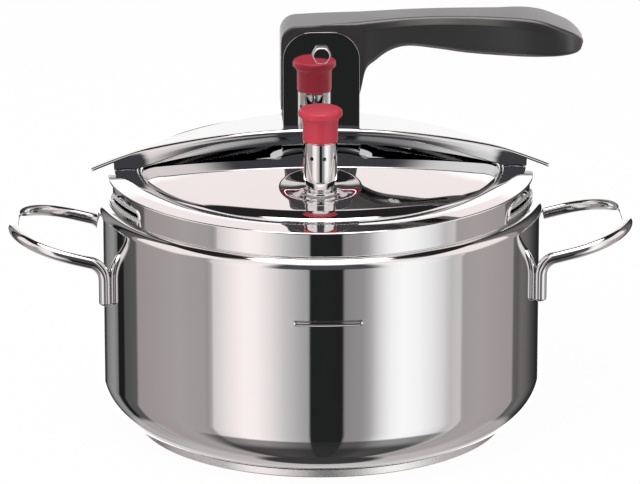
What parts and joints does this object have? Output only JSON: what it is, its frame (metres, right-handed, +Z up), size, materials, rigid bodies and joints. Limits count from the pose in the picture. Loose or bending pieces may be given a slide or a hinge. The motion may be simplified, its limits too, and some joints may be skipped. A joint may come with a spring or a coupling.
{
  "type": "stovetop pressure cooker",
  "caption": "Round steel pressure cooker: pot with rod side handles, lid held under the in-turned rim by an arched bridge and a black cam lever, steam valve with a red cap.",
  "frame": {"origin": "centre of the base's underside", "axes": "+Z up; +X along the lever, towards its tip; the steam valve is on the -Y side"},
  "size_m": [0.3068, 0.219, 0.2068],
  "materials": {
    "polished_steel": "mirror-polished stainless steel",
    "satin_steel": "satin steel",
    "aluminium": "pressed aluminium",
    "black_plastic": "semi-matt moulded thermoset plastic",
    "silicone": "matt silicone",
    "red_silicone": "satin red silicone"
  },
  "bodies": {
    "pot": {"pot_body": "polished_steel", "base_core": "aluminium", "base_cap": "polished_steel", "side_handle_left": "polished_steel", "side_handle_right": "polished_steel", "bridge": "polished_steel"},
    "lid": {"lid": "polished_steel", "lid_gasket": "silicone", "lever_bracket": "polished_steel", "pivot_bolt": "satin_steel", "pivot_bush": "satin_steel", "pivot_washer": "satin_steel", "pivot_nut": "satin_steel", "valve_base": "polished_steel", "valve_washer": "silicone", "valve_nut": "satin_steel", "valve_tube": "polished_steel", "valve_spring": "satin_steel", "safety_valve_body": "polished_steel", "safety_valve_washer": "silicone", "safety_valve_nut": "satin_steel", "safety_valve_cap": "polished_steel", "safety_valve_spring": "satin_steel"},
    "lever": {"lever_handle": "black_plastic", "lever_core": "satin_steel", "lever_screws": "satin_steel"},
    "valve": {"valve_plunger": "satin_steel", "valve_seal": "silicone", "valve_cap": "red_silicone"},
    "safety_pin": {"safety_valve_pin": "red_silicone"}
  },
  "joints": [
    {"name": "lid_drop", "type": "slide", "parent": "pot", "child": "lid", "axis": [0, 0, -1], "range_m": [0, 0.004]},
    {"name": "lever_turn", "type": "hinge", "parent": "lid", "child": "lever", "pos_m": [0, 0, 0.1901], "axis": [0, -1, 0], "range_deg": [0, 90]},
    {"name": "valve_lift", "type": "slide", "parent": "lid", "child": "valve", "axis": [0, 0, 1], "range_m": [0, 0.004], "stiffness_N_per_m": 150, "springref_m": -0.008, "deforming": ["valve_spring"]},
    {"name": "safety_pin_lift", "type": "slide", "parent": "lid", "child": "safety_pin", "axis": [0, 0, 1], "range_m": [0, 0.0015], "stiffness_N_per_m": 400, "springref_m": -0.004, "deforming": ["safety_valve_spring"]}
  ],
  "couplings": [
    {"joint": "lid_drop", "follows": "lever_turn", "m_per_rad": 0.0025464}
  ]
}
